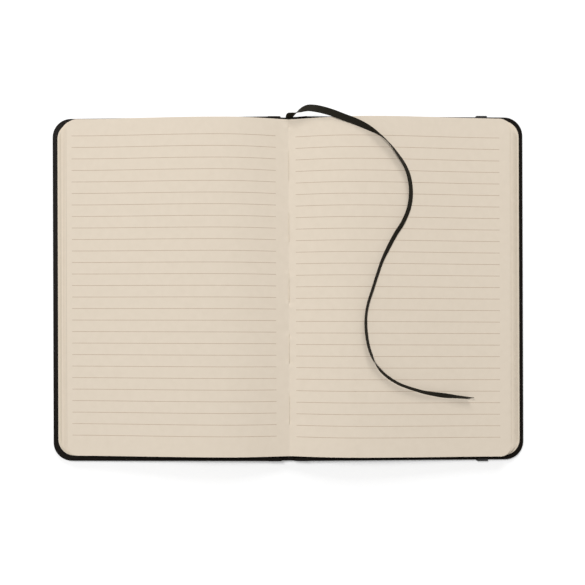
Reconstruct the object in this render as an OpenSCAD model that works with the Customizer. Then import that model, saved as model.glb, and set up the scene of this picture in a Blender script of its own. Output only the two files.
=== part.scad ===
// Hardcover ruled notebook, lying open in the middle of its pages.
// A case of two cover boards and a spine strip, in one black covering, holds a sewn block of
// cream pages by its endpapers. A ribbon marker leaves the head of the spine, and an elastic
// band runs round the back board.
// Millimetres. +X runs across the open book to the back cover, +Y to the head and +Z up.
// The origin is on the table, under the middle of the open covers.

/* [Cover] */
// Width of each cover board, from the joint to the fore edge
board_w = 133; // [110:0.1:180]
// Height of the cover boards, from tail to head
board_h = 210.8; // [160:0.1:300]
// Thickness of each cover board
board_t = 1.9; // [1.2:0.1:3]
// Radius of the covers' two corners at the fore edge
cover_corner_r = 11.4; // [5:0.1:20]
// Thickness of the covering material
cover_t = 0.35; // [0.2:0.05:0.6]
// Rounding of the covering along the edges of the covers
edge_round = 0.6; // [0.2:0.05:1]
// Width of the covering's turn-in on the inner side of the boards
turn_in = 15; // [8:1:25]
// Height of the covers' inner edges over the table, as the open book lies
board_rise = 4.3; // [3.5:0.1:8]

/* [Spine and joints] */
// Thickness of the spine strip
spine_t = 1.2; // [0.6:0.1:2.4]
// How much wider the spine strip is than the closed block of pages
spine_extra = 1; // [0:0.1:4]
// Width of each joint between the spine strip and a cover
joint_w = 7; // [6:0.1:11]
// How far the spine lies to the right of the middle of the open covers
spine_shift = 0.7; // [0:0.1:1.5]
// Gap between the covering of a joint and the cover that turns on it
hinge_gap = 0.3; // [0.2:0.05:0.6]

/* [Pages] */
// Number of sewn signatures in the block; the book lies open in the middle one
signatures = 9; // [5:2:13]
// Number of leaves in each signature
leaves_per_signature = 12; // [8:2:16]
// Thickness of one leaf of the block, with the air that it holds
leaf_t = 0.084; // [0.07:0.001:0.11]
// How far the covers stand past the pages at the head
head_square = 2.6; // [1:0.1:6]
// How far the covers stand past the pages at the tail
tail_square = 3.4; // [1:0.1:6]
// How far the covers stand past the lowest leaves at the fore edge
fore_square = 3.3; // [1:0.1:6]
// Radius of the pages' corners at the fore edge
page_corner_r = 10; // [4:0.5:16]
// How far the lowest leaf reaches past the top one at the fore edge
fan = 6; // [2:0.1:10]
// Slope of the two halves of the block's back, which lifts as the book opens
back_angle = 43; // [20:1:60]
// Clear height between the spine strip and the outer edges of the block's back
hollow_h = 2.5; // [1:0.1:3]
// Depth of the middle fold under the gutter that shows
gutter_depth = 1.7; // [0.8:0.1:3]
// Height of the pages' crest over the gutter
page_arch = 5; // [3:0.1:9]
// Distance from the gutter to the pages' crest
crest_x = 40; // [30:1:60]
// Depth of the fine groove between two signatures at the pages' edges
signature_groove = 0.2; // [0.05:0.05:0.5]

/* [Endpapers and lining] */
// Thickness of the endpapers
paper_t = 0.15; // [0.1:0.05:0.3]
// Gap between a pastedown and the flyleaf that lies over it
page_gap = 0.2; // [0.15:0.05:0.4]
// Thickness of the lining on the block's back
lining_t = 0.25; // [0.15:0.05:0.5]
// How far the lining stops short of the pages at head and tail
lining_inset = 5; // [2:1:20]

/* [Ruling] */
// Distance between two ruled lines
rule_pitch = 7.03; // [5:0.01:10]
// Width of a ruled line
rule_w = 0.25; // [0.15:0.05:0.5]
// Thickness of the ink
ink_t = 0.04; // [0.03:0.01:0.08]
// Space from the head of a page to its first line
rule_head_margin = 10.6; // [8:0.1:20]
// Least space from the last line to the tail of a page
rule_tail_margin = 11.9; // [10:0.1:25]
// Space from the gutter to the lines of the left page
left_gutter_margin = 7.9; // [3:0.1:15]
// Space from the lines of the left page to its fore edge
left_fore_margin = 3.4; // [2:0.1:20]
// Space from the gutter to the lines of the right page
right_gutter_margin = 4.2; // [3:0.1:15]
// Space from the lines of the right page to its fore edge
right_fore_margin = 7.3; // [2:0.1:20]

/* [Sewing] */
// Diameter of the sewing thread
thread_d = 0.4; // [0.3:0.05:0.7]
// Length of a stitch, and of the space to the next one
stitch_len = 18.6; // [10:0.1:24]

/* [Elastic band] */
// Width of the elastic band
elastic_w = 6.8; // [5:0.1:8]
// Thickness of the elastic band
elastic_t = 0.6; // [0.4:0.05:0.6]
// Distance from the cover's fore edge to the middle of the band
elastic_inset = 25.5; // [24:0.1:50]
// Gap between the band and the edge of the cover that it turns round
elastic_slack = 0.3; // [0.1:0.05:0.6]
// Length of the band's glued ends inside the cover
elastic_tail = 16; // [8:1:25]
// Gap on each side of the band's ends in their seat
elastic_seat_gap = 0.1; // [0.05:0.05:0.3]

/* [Ribbon marker] */
// Width of the ribbon
ribbon_w = 4.2; // [3:0.1:6]
// Thickness of the ribbon
ribbon_t = 0.4; // [0.3:0.05:0.6]
// Slant of the ribbon's cut end, in degrees
ribbon_slant = 35; // [0:5:50]

/* [Hidden] */
$fn = 96;

LEFT = -1;
RIGHT = 1;
BLACK = [0.1, 0.1, 0.1];
GREYBOARD = [0.55, 0.52, 0.47];
CREAM = [0.9, 0.85, 0.76];
ENDPAPER = [0.87, 0.82, 0.73];
INK = [0.62, 0.58, 0.52];
CUT = 1; // how far a cutting solid runs past the face that it cuts

// The case
cover_w = board_w + cover_t;
cover_h = board_h + 2 * cover_t;
skin_t = board_t + 2 * cover_t; // a board between its covering and the turn-in
cover_total_t = skin_t + paper_t;
slope = asin(board_rise / cover_w);
stack_t = signatures * leaves_per_signature * leaf_t / 2; // the block's pages on one side
spine_w = 2 * stack_t + spine_extra;
inner_x = spine_w / 2 + joint_w; // the covers' inner edges, where they turn
paste_inset = fore_square;

// How the lowest leaf bends from the block's back to where it comes down by the cover
shoulder_inset = 1;
shoulder_run = 2;
back_run = 1;
back_lift = 1.6;

// The pages, with distances measured from the gutter
page_h = cover_h - head_square - tail_square;
page_mid = (tail_square - head_square) / 2; // the pages' middle, above the covers' middle
low_reach = inner_x + cover_w * cos(slope) - fore_square;
top_reach = low_reach - fan;
strip_top = 2 * cover_t + spine_t;
back_z = strip_top + hollow_h;
back_x = stack_t * cos(back_angle);
fold_z = back_z + stack_t * sin(back_angle);
gutter_z = fold_z + gutter_depth;
crest_z = gutter_z + page_arch;
shoulder_x = inner_x - spine_shift - shoulder_inset;

// Stations along a page: over the block's back, up to the crest, down and round the corner
BACK_STEPS = 3;
RISE_STEPS = 7;
FALL_STEPS = 9;
CORNER_STEPS = 6;
CREST = BACK_STEPS + RISE_STEPS;

// Height at which the block lies on its flyleaf, at a distance from the gutter
function lie_z(d) = board_rise - (d - spine_shift - inner_x) * tan(slope)
    + cover_total_t / cos(slope) + page_gap + paper_t;

function unit(v) = v / norm(v);

// A point of the cubic curve with four control points
function curve(p, t) = pow(1 - t, 3) * p[0] + 3 * t * pow(1 - t, 2) * p[1]
    + 3 * t * t * (1 - t) * p[2] + pow(t, 3) * p[3];

// The direction in which that curve runs
function heading(p, t) = unit(pow(1 - t, 2) * (p[1] - p[0]) + 2 * t * (1 - t) * (p[2] - p[1])
    + t * t * (p[3] - p[2]));

// Distance from the fore edge at a station of the rounded corner
function corner_e(i) = page_corner_r * (1 - sin(90 * i / CORNER_STEPS));

fall_end = top_reach - page_corner_r;
fall_len = fall_end - crest_x;
RISE = [
    [0, gutter_z],
    [0.15 * crest_x, gutter_z + 0.62 * page_arch],
    [0.55 * crest_x, crest_z],
    [crest_x, crest_z]
];
FALL = [
    [crest_x, crest_z],
    [crest_x + 0.35 * fall_len, crest_z],
    [fall_end - 0.3 * fall_len, lie_z(fall_end - 0.3 * fall_len) + stack_t],
    [fall_end, lie_z(fall_end) + stack_t]
];
SHOULDER = [
    [back_x, back_z],
    [back_x + back_run, back_z + back_lift],
    [shoulder_x - shoulder_run, lie_z(shoulder_x - shoulder_run)],
    [shoulder_x, lie_z(shoulder_x)]
];

// The top page from the gutter to the fore edge, and the lowest page under it
TOP = concat(
    [for (i = [0:CREST]) curve(RISE, i / CREST)],
    [for (i = [1:FALL_STEPS]) curve(FALL, i / FALL_STEPS)],
    [for (i = [1:CORNER_STEPS]) let (d = top_reach - corner_e(i)) [d, lie_z(d) + stack_t]]
);
LOW = concat(
    [for (i = [0:BACK_STEPS]) let (t = i / BACK_STEPS) [back_x * t, fold_z + (back_z - fold_z) * t * t]],
    [for (i = [1:RISE_STEPS]) curve(SHOULDER, i / RISE_STEPS)],
    [for (i = [1:FALL_STEPS])
        let (d = shoulder_x + (low_reach - page_corner_r - shoulder_x) * i / FALL_STEPS) [d, lie_z(d)]],
    [for (i = [1:CORNER_STEPS]) let (d = low_reach - corner_e(i)) [d, lie_z(d)]]
);
HALF_H = concat(
    [for (i = [0:CREST + FALL_STEPS]) page_h / 2],
    [for (i = [1:CORNER_STEPS]) page_h / 2 - page_corner_r * (1 - cos(90 * i / CORNER_STEPS))]
);
LAST = len(TOP) - 1;

// The ribbon's route: x, y, z and twist, where 0, 180 and 360 are flat and 90 stands on its edge.
// It starts glued under the block's back, leaves at the head and lies over the right page.
RIBBON = [
    [0.7, 80, 5.5, 360], [0.7, 90, 5.5, 360], [0.7, 98, 5.5, 360], [0.8, 103.2, 5.8, 360],
    [1, 104.6, 6.8, 360], [1.2, 105.2, 8.4, 332], [1.9, 105.5, 10, 303],
    [3.2, 105.7, 11.4, 281], [4.9, 106, 12.4, 260], [6.3, 106.5, 12.9, 243],
    [7.8, 107.1, 13.3, 225], [10.8, 108.1, 14, 200], [13.9, 108.3, 14.6, 183],
    [19.9, 107.2, 15.3, 160], [27.1, 105, 15.8, 148], [34.3, 102.2, 16, 144],
    [41.4, 99.5, 16, 144], [48.7, 96, 16, 130], [55.5, 91.7, 16.3, 103],
    [61, 87, 16, 82], [66.1, 80.4, 15.5, 62], [70.4, 74, 14.9, 53], [73.1, 67.3, 14.5, 47],
    [74.3, 59.8, 14.4, 47], [74, 52.5, 14.5, 47], [72.5, 46, 14.6, 50],
    [69.3, 38.9, 15, 52], [65.1, 32.3, 15.2, 52], [61, 24.8, 15.5, 53],
    [56.9, 16.4, 15.9, 60], [53.9, 8, 16.1, 62], [50.9, -1.3, 16.2, 63],
    [48.3, -9.3, 16.3, 64], [46.9, -17.1, 16.3, 64], [46.9, -25.6, 16.3, 61],
    [48.1, -34.1, 16.3, 61], [50.5, -41.7, 16.3, 70], [54.2, -48.3, 16.2, 80],
    [59.5, -53.6, 16, 98], [67.6, -58.5, 15.5, 109], [79.7, -62.6, 14.5, 117],
    [87.2, -64.2, 13.5, 127], [94.4, -65.3, 12.7, 133], [101.5, -66.1, 12.3, 119],
    [106.5, -66.6, 12, 109], [110.7, -67.1, 11.7, 102]
];

// Lays children out as the right or left cover lies: x from its inner edge to its fore edge,
// y from the middle of its height, and z up from its outer face
module lay_cover(side) {
    mirror([side == LEFT ? 1 : 0, 0, 0])
        translate([inner_x, 0, board_rise])
            rotate([0, slope, 0])
                children();
}

// Places a half of the book, drawn outwards from the gutter, on its side
module from_gutter(side) {
    translate([spine_shift, page_mid, 0])
        mirror([side == LEFT ? 1 : 0, 0, 0])
            children();
}

// Carries a section, drawn across the book and up, along the book's height
module along_y(length, middle = 0) {
    translate([0, middle, 0])
        rotate([90, 0, 0])
            linear_extrude(length, center = true)
                children();
}

// A cover's outline, square at the inner edge and rounded at the fore edge
module outline(w, h, r) {
    translate([0, -h / 2])
        square([w - r, h]);
    translate([0, r - h / 2])
        square([w, h - 2 * r]);
    for (y = [-1, 1])
        translate([w - r, y * (h / 2 - r)])
            circle(r);
}

// A plate of that outline with its outer edges eased, apart from the inner one
module eased_plate(w, h, t, r, ease) {
    skin = 0.01;
    hull() {
        for (z = [0, t - skin])
            translate([0, 0, z])
                linear_extrude(skin)
                    outline(w - ease, h - 2 * ease, r - ease, $fn = 32);
        for (z = [0.35 * ease, t - 0.35 * ease - skin])
            translate([0, 0, z])
                linear_extrude(skin)
                    outline(w - 0.3 * ease, h - 0.6 * ease, r - 0.3 * ease, $fn = 32);
        translate([0, 0, ease])
            linear_extrude(t - 2 * ease)
                outline(w, h, r, $fn = 32);
    }
}

// The seat of the band's two glued ends, cut down from the inner side of the cover
module elastic_seat() {
    seat_w = elastic_w + 2 * elastic_seat_gap;
    depth = elastic_tail + elastic_seat_gap;
    for (y = [-1, 1])
        translate([cover_w - elastic_inset - seat_w / 2, y * (cover_h - depth + CUT) / 2 - (depth + CUT) / 2,
            skin_t - elastic_t])
            cube([seat_w, depth + CUT, elastic_t + CUT]);
}

module board() {
    translate([0, 0, cover_t])
        linear_extrude(board_t)
            outline(board_w, board_h, cover_corner_r - cover_t);
}

// The covering of one cover: its outer face, its three wrapped edges and its turn-ins
module covering() {
    difference() {
        eased_plate(cover_w, cover_h, skin_t, cover_corner_r, edge_round);
        board();
        translate([-CUT, -board_h / 2, cover_t])
            cube([2 * CUT, board_h, board_t]);
        translate([-CUT, turn_in - board_h / 2, cover_t + board_t - CUT])
            cube([board_w - turn_in + CUT, board_h - 2 * turn_in, cover_t + 2 * CUT]);
    }
}

// The filler between the turn-ins, as thick as they are
module pastedown_filler() {
    translate([0, turn_in - board_h / 2, cover_t + board_t])
        cube([board_w - turn_in, board_h - 2 * turn_in, cover_t]);
}

// The sheet of the pastedown, which laps over the turn-ins and ends short of the cover's edges
module pastedown_sheet() {
    translate([0, page_mid, skin_t])
        linear_extrude(paper_t)
            outline(cover_w - paste_inset, page_h, page_corner_r);
}

module front_board() {
    color(GREYBOARD) lay_cover(LEFT) board();
}

module front_covering() {
    color(BLACK) lay_cover(LEFT) covering();
}

module front_pastedown() {
    color(ENDPAPER)
        lay_cover(LEFT) {
            pastedown_filler();
            pastedown_sheet();
        }
}

module back_board() {
    color(GREYBOARD)
        lay_cover(RIGHT)
            difference() {
                board();
                elastic_seat();
            }
}

module back_covering() {
    color(BLACK)
        lay_cover(RIGHT)
            difference() {
                covering();
                elastic_seat();
            }
}

// The back one makes room for the band's glued ends
module back_pastedown() {
    color(ENDPAPER)
        lay_cover(RIGHT) {
            difference() {
                pastedown_filler();
                elastic_seat();
            }
            pastedown_sheet();
        }
}

// The band's section along the cover: under the outer face, round head and tail, and in
module band_section() {
    outer_h = cover_h + 2 * (elastic_slack + elastic_t);
    outer_t = skin_t + elastic_t;
    difference() {
        union() {
            translate([elastic_t - outer_h / 2, -elastic_t])
                square([outer_h - 2 * elastic_t, outer_t]);
            translate([-outer_h / 2, 0])
                square([outer_h, outer_t - 2 * elastic_t]);
            for (y = [-1, 1], z = [0, skin_t - elastic_t])
                translate([y * (outer_h / 2 - elastic_t), z])
                    circle(elastic_t);
        }
        translate([-cover_h / 2 - elastic_slack, 0])
            square([cover_h + 2 * elastic_slack, skin_t - elastic_t]);
        translate([elastic_tail - cover_h / 2, 0])
            square([cover_h - 2 * elastic_tail, skin_t + CUT]);
    }
}

module elastic_band() {
    color(BLACK)
        lay_cover(RIGHT)
            translate([cover_w - elastic_inset, 0, 0])
                rotate([90, 0, 90])
                    linear_extrude(elastic_w, center = true)
                        band_section();
}

module spine_board() {
    color(GREYBOARD)
        translate([spine_shift - spine_w / 2, -board_h / 2, cover_t])
            cube([spine_w, board_h, spine_t]);
}

// The curve of a joint, from the spine strip up to the edge of the cover on its side, at a
// distance from its outer face
function joint_line(side, h = 0, steps = 8) =
    let (
        end = inner_x - side * spine_shift - hinge_gap,
        run = end - spine_w / 2,
        p = [
            [spine_w / 2, 0],
            [spine_w / 2 + 0.45 * run, 0],
            [end - 0.45 * run, board_rise],
            [end, board_rise]
        ]
    )
    [for (i = [0:steps]) let (v = heading(p, i / steps)) curve(p, i / steps) + h * [-v[1], v[0]]];

// A line moved sideways, to its left as it runs
function moved(p, h) = [for (i = [0:len(p) - 1])
    let (v = p[min(i + 1, len(p) - 1)] - p[max(i - 1, 0)]) p[i] + h * [-v[1], v[0]] / norm(v)];

function reversed(p) = [for (i = [len(p) - 1:-1:0]) p[i]];

// The section of a sheet that follows a line, between two distances from it
module sheet_section(p, low, high) {
    polygon(concat(moved(p, low), reversed(moved(p, high))));
}

module joint_sections(low, high) {
    for (side = [LEFT, RIGHT])
        mirror([side == LEFT ? 1 : 0, 0])
            polygon(concat(joint_line(side, low), reversed(joint_line(side, high))));
}

// The covering of the spine strip and of both joints, turned in at head and tail
module spine_covering() {
    color(BLACK)
        translate([spine_shift, 0, 0]) {
            along_y(cover_h) {
                translate([-spine_w / 2, 0])
                    square([spine_w, cover_t]);
                joint_sections(0, cover_t);
            }
            for (y = [-1, 1]) {
                along_y(turn_in, y * (board_h - turn_in) / 2) {
                    translate([-spine_w / 2, cover_t + spine_t])
                        square([spine_w, cover_t]);
                    joint_sections(cover_t, 2 * cover_t);
                }
                along_y(cover_t, y * (board_h + cover_t) / 2) {
                    translate([-spine_w / 2, 0])
                        square([spine_w, strip_top]);
                    joint_sections(0, 2 * cover_t);
                }
            }
        }
}

// The lining follows the block's back from one outer edge to the other
module spine_lining() {
    back = concat(
        [for (i = [BACK_STEPS:-1:1]) [-LOW[i][0], LOW[i][1]]],
        [for (i = [0:BACK_STEPS]) LOW[i]]
    );
    color(ENDPAPER)
        translate([spine_shift, page_mid, 0])
            along_y(page_h - 2 * lining_inset)
                polygon(concat(back, [for (p = reversed(back)) p - [0, lining_t]]));
}

// The edge of a stack of signatures at head, tail or fore edge: how far down the stack a
// point lies, from 0 to 1, and how deep it lies in a groove between two signatures
groove_half = 0.03;
EDGE = concat(
    [[0, 0]],
    [for (j = [1:(signatures - 1) / 2], g = [-1, 0, 1])
        [(2 * j - 1) / signatures + g * groove_half, g == 0 ? signature_groove : 0]],
    [[1, 0]]
);
EDGE_POINTS = len(EDGE);

// One ring of the block at a station: down its tail edge and back up its head edge
function ring(side, k) = [for (end = [-1, 1], i = [0:EDGE_POINTS - 1])
    let (
        e = EDGE[end < 0 ? i : EDGE_POINTS - 1 - i],
        p = TOP[k] + e[0] * (LOW[k] - TOP[k]),
        inset = k == LAST ? e[1] : 0
    )
    [side * (p[0] - inset), end * (HALF_H[k] - e[1]), p[1]]];

// The block of pages is one solid: rings from the left fore edge over the gutter to the right
module text_block() {
    rings = concat([for (k = [LAST:-1:0]) ring(LEFT, k)], [for (k = [1:LAST]) ring(RIGHT, k)]);
    n = 2 * EDGE_POINTS;
    last = len(rings) - 1;
    walls = [for (r = [0:last - 1], i = [0:n - 1]) let (a = r * n + i, b = r * n + (i + 1) % n)
        each [[a, b, a + n], [b, b + n, a + n]]];
    caps = [for (i = [0:EDGE_POINTS - 2], r = [0, last])
        let (
            a = r * n + i,
            b = r * n + n - 1 - i,
            quad = [a, b, b - 1, a + 1]
        )
        r == 0 ? quad : reversed(quad)];
    color(CREAM)
        translate([spine_shift, page_mid, 0])
            polyhedron([for (r = rings) each r], concat(walls, caps), convexity = 6);
}

// The part of the top page's line between two distances from the gutter
function page_line(from, to) = concat(
    [[from, lookup(from, TOP)]],
    [for (p = TOP) if (p[0] > from && p[0] < to) p],
    [[to, lookup(to, TOP)]]
);

rule_count = floor((page_h - rule_head_margin - rule_tail_margin) / rule_pitch) + 1;

// The printed lines lie on both open pages and follow their curve
module ruled_lines() {
    module page_rules(side, from, to) {
        line = page_line(from, to);
        from_gutter(side)
            for (i = [0:rule_count - 1])
                along_y(rule_w, page_h / 2 - rule_head_margin - i * rule_pitch)
                    polygon(concat(line, [for (p = reversed(line)) p + [0, ink_t]]));
    }
    color(INK) {
        page_rules(LEFT, left_gutter_margin, top_reach - left_fore_margin);
        page_rules(RIGHT, right_gutter_margin, top_reach - right_fore_margin);
    }
}

// The stitches of the middle signature lie in the gutter, on both pages' slopes
stitch_count = floor((page_h - stitch_len) / (2 * stitch_len) + 0.5);

module sewing_thread() {
    rise = TOP[1] - TOP[0];
    z = gutter_z + thread_d / 2 * norm(rise) / rise[0];
    color(CREAM)
        for (i = [0:stitch_count - 1])
            translate([spine_shift, page_mid + (2 * i - stitch_count + 1) * stitch_len, z]) {
                rotate([90, 0, 0])
                    cylinder(h = stitch_len - thread_d, d = thread_d, center = true, $fn = 24);
                for (y = [-1, 1])
                    translate([0, y * (stitch_len - thread_d) / 2, 0])
                        sphere(d = thread_d, $fn = 24);
            }
}

// A flyleaf under the block, with the stub of its endpaper pasted in the joint
module flyleaf(side) {
    leaf = [for (k = [BACK_STEPS:LAST]) LOW[k]];
    joint = joint_line(side, 2 * cover_t);
    stub_start = [back_x, back_z] + paper_t * [0.1, -0.1]; // inside the fold of the endpaper
    stub = concat([stub_start], [for (i = [3:len(joint) - 1]) joint[i]]);
    color(ENDPAPER)
        from_gutter(side) {
            intersection() {
                along_y(page_h)
                    polygon(concat(leaf, [for (p = reversed(leaf)) p - [0, paper_t]]));
                linear_extrude(crest_z)
                    outline(low_reach, page_h, page_corner_r);
            }
            along_y(page_h)
                sheet_section(stub, 0, paper_t);
        }
}

module front_flyleaf() {
    flyleaf(LEFT);
}

module back_flyleaf() {
    flyleaf(RIGHT);
}

function place(r) = [r[0], r[1], r[2]];

// The ribbon's flat section with eight sides, across its width and its thickness
RIBBON_SECTION = let (a = ribbon_w / 2, b = ribbon_t / 2) [
    [a, -b / 2], [a, b / 2], [a - b, b], [b - a, b],
    [-a, b / 2], [-a, -b / 2], [b - a, -b], [a - b, -b]
];

// One ring of the ribbon, turned by its twist; the last one is cut at a slant
function ribbon_ring(i) =
    let (
        last = len(RIBBON) - 1,
        along = unit(place(RIBBON[min(i + 1, last)]) - place(RIBBON[max(i - 1, 0)])),
        level = unit(cross(along, [0, 0, 1])),
        up = cross(level, along),
        twist = RIBBON[i][3],
        across = cos(twist) * level + sin(twist) * up,
        through = cross(across, along),
        slant = i == last ? tan(ribbon_slant) : 0
    )
    [for (s = RIBBON_SECTION)
        place(RIBBON[i]) + s[0] * across + s[1] * through + s[0] * slant * along];

module ribbon_marker() {
    n = len(RIBBON_SECTION);
    last = len(RIBBON) - 1;
    // Both broad faces are split along the same diagonal, so that they stay parallel in a twist
    walls = [for (r = [0:last - 1], i = [0:n - 1]) let (a = r * n + i, b = r * n + (i + 1) % n)
        each i < n / 2 ? [[a, b, a + n], [b, b + n, a + n]] : [[a, b, b + n], [a, b + n, a + n]]];
    caps = [[for (i = [n - 1:-1:0]) i], [for (i = [0:n - 1]) last * n + i]];
    color(BLACK)
        polyhedron([for (i = [0:last]) each ribbon_ring(i)], concat(walls, caps), convexity = 8);
}

front_board();
front_covering();
front_pastedown();
back_board();
back_covering();
back_pastedown();
elastic_band();
spine_board();
spine_covering();
spine_lining();
text_block();
ruled_lines();
sewing_thread();
front_flyleaf();
back_flyleaf();
ribbon_marker();
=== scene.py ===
import math

import bmesh
import bpy
import numpy as np
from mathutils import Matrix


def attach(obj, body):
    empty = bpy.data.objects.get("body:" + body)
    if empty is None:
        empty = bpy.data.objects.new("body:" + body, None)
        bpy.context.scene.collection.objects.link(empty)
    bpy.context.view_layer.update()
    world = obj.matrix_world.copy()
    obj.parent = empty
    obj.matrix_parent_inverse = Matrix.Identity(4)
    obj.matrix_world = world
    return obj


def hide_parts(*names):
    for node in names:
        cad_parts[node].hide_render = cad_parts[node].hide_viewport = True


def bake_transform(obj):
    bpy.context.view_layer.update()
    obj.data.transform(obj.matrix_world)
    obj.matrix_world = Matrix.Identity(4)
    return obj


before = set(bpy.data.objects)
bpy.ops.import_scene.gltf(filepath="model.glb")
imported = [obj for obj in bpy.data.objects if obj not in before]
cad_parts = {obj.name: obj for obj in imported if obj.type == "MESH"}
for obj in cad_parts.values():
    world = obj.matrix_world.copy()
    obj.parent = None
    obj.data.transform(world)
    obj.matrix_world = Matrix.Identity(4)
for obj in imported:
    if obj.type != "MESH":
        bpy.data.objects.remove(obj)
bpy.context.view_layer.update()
MM = 0.001
LEFT = -1
RIGHT = 1

# The case
BOARD_W = 133 * MM
BOARD_H = 210.8 * MM
BOARD_T = 1.9 * MM
COVER_CORNER_R = 11.4 * MM
COVER_T = 0.35 * MM
EDGE_ROUND = 0.75 * MM
TURN_IN = 15 * MM
BOARD_RISE = 4.3 * MM
SPINE_T = 1.2 * MM
SPINE_EXTRA = 1 * MM
JOINT_W = 7 * MM
SPINE_SHIFT = 0.7 * MM
COVER_W = BOARD_W + COVER_T
COVER_H = BOARD_H + 2 * COVER_T
SKIN_T = BOARD_T + 2 * COVER_T
STRIP_TOP = 2 * COVER_T + SPINE_T
SLOPE = math.asin(BOARD_RISE / COVER_W)

# The block of pages
SIGNATURES = 9
LEAVES_PER_SIGNATURE = 12
SIDE_LEAVES = SIGNATURES * LEAVES_PER_SIGNATURE // 2
LEAF_PITCH = 0.084 * MM
LEAF_T = 0.066 * MM
STACK_T = SIDE_LEAVES * LEAF_PITCH
SPINE_W = 2 * STACK_T + SPINE_EXTRA
INNER_X = SPINE_W / 2 + JOINT_W
HEAD_SQUARE = 2.6 * MM
TAIL_SQUARE = 3.4 * MM
FORE_SQUARE = 3.3 * MM
PAGE_H = COVER_H - HEAD_SQUARE - TAIL_SQUARE
PAGE_MID = (TAIL_SQUARE - HEAD_SQUARE) / 2
PAGE_CORNER_R = 10 * MM
FAN = 6 * MM
PAPER_T = 0.15 * MM
PAGE_GAP = 0.2 * MM
LOW_REACH = INNER_X + COVER_W * math.cos(SLOPE) - FORE_SQUARE
TOP_REACH = LOW_REACH - FAN
BACK_ANGLE = math.radians(43)
BACK_X = STACK_T * math.cos(BACK_ANGLE)
BACK_Z = STRIP_TOP + 2.5 * MM
FOLD_Z = BACK_Z + STACK_T * math.sin(BACK_ANGLE)
GUTTER_Z = FOLD_Z + 0.9 * MM
PAGE_ARCH = 5.8 * MM
CREST_Z = GUTTER_Z + PAGE_ARCH
CREST_X = 40 * MM
SHOULDER_X = INNER_X - SPINE_SHIFT - 1 * MM
FOLD_SHARE = 0.97  # how far out on the block's back the lowest leaf's fold lies

# How the pages lie in the photograph: a little askew in the case, the top ones with smaller corners,
# and the right ones higher at the head, drawn in at the fore edge and with less painted shade along their
# fore edge
BLOCK_SHEAR = math.tan(math.radians(0.30))
TOP_CORNER_R = 6.4 * MM
HEAD_LIFT = {LEFT: 0.0, RIGHT: 0.85 * MM}
LIFT_RUN = 70 * MM
TOP_DRAW = {LEFT: 0.0, RIGHT: 1.2 * MM}
LOW_DRAW = {LEFT: 0.0, RIGHT: 0.7 * MM}
STEP_SHARE = {LEFT: 0.85, RIGHT: 0.1}  # the part of the fan that lies between leaves of one signature
EDGE_SHADE_OFFSET = {LEFT: 0.0, RIGHT: 0.28}  # millimetres by which the painted shade along the fore edge starts outside the page

# How unevenly signatures and leaves end at the fore edge, and leaves at head and tail
CREEP = 0.12 * MM
SIGNATURE_SWAY = 0.3 * MM
SWAY_STEP = 2.4
SWAY_START = {LEFT: 0.7, RIGHT: 2.1}
LEAF_SWAY = 0.05 * MM
HEAD_SWAY = 0.06 * MM

# Stations along a leaf, counted as the block's rings are: the back, the rise, the fall, the corner
BACK_END = 3
CREST_AT = 10
FALL_AT = 19
CORNER_AT = 25

# The ruling
RULE_PITCH = 7.03 * MM
RULE_COUNT = 27
RULE_W = 0.25 * MM
RULE_HEAD = 10.6 * MM
LEFT_RULE = (7.9 * MM, TOP_REACH - 3.4 * MM)
RIGHT_RULE = (4.2 * MM, TOP_REACH - 7.3 * MM)
PRINT_SKEW = math.tan(math.radians(0.07))
PRINT_STEP = 0.23 * MM
PRINT_LIFT = 0.012 * MM

# The sewing
STITCH = 18.6 * MM
STITCHES = 5
THREAD_D = 0.4 * MM
PLY_TURN = 1.1 * MM
STITCH_DIVE = 0.25 * MM
STITCH_SEAT = 0.62 * THREAD_D  # the height of its middle over the gutter

# The elastic band
ELASTIC_W = 6.8 * MM
ELASTIC_T = 0.6 * MM
ELASTIC_X = COVER_W - 25.5 * MM
ELASTIC_SLACK = 0.3 * MM
ELASTIC_TAIL = 16 * MM
ELASTIC_RIBS = 7

# The ribbon: x, y, z in millimetres and its twist in degrees, flat at 180 and on edge at 90
RIBBON_W = 4.2 * MM
RIBBON_T = 0.4 * MM
RIBBON_SLANT = math.radians(35)
RIBBON = [
    [0.7, 80, 5.5, 360], [0.7, 90, 5.5, 360], [0.7, 98, 5.5, 360], [0.8, 103.2, 5.8, 360],
    [1, 104.6, 6.8, 360], [1.2, 105.2, 8.4, 332], [1.9, 105.5, 10, 303],
    [3.2, 105.7, 11.4, 281], [4.9, 106, 12.4, 260], [6.3, 106.5, 12.9, 243],
    [7.8, 107.1, 13.3, 225], [10.8, 108.1, 14, 200], [13.9, 108.3, 14.6, 183],
    [19.9, 107.2, 15.3, 160], [27.1, 105, 15.8, 148], [34.3, 102.2, 16, 144],
    [41.4, 99.5, 16, 140], [48.7, 96, 16, 120], [55.5, 91.7, 16.3, 88],
    [61, 87, 16, 73], [66.1, 80.4, 15.5, 58], [70.4, 74, 14.9, 52], [73.1, 67.3, 14.5, 47],
    [74.3, 59.8, 14.4, 47], [74, 52.5, 14.5, 47], [72.5, 46, 14.6, 50],
    [69.3, 38.9, 15, 52], [65.1, 32.3, 15.2, 52], [61, 24.8, 15.5, 53],
    [56.9, 16.4, 15.9, 60], [53.9, 8, 16.1, 62], [50.9, -1.3, 16.2, 63],
    [48.3, -9.3, 16.3, 64], [46.9, -17.1, 16.3, 64], [46.9, -25.6, 16.3, 61],
    [48.1, -34.1, 16.3, 62], [50.5, -41.7, 16.3, 68], [54.2, -48.3, 16.2, 102],
    [59.5, -53.6, 16, 110], [67.6, -58.5, 15.5, 112], [79.7, -62.6, 14.5, 117],
    [87.2, -64.2, 13.5, 127], [94.4, -65.3, 12.7, 133], [101.5, -66.1, 12.3, 119],
    [106.5, -66.6, 12, 112], [110.7, -67.1, 11.7, 108]
]

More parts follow.
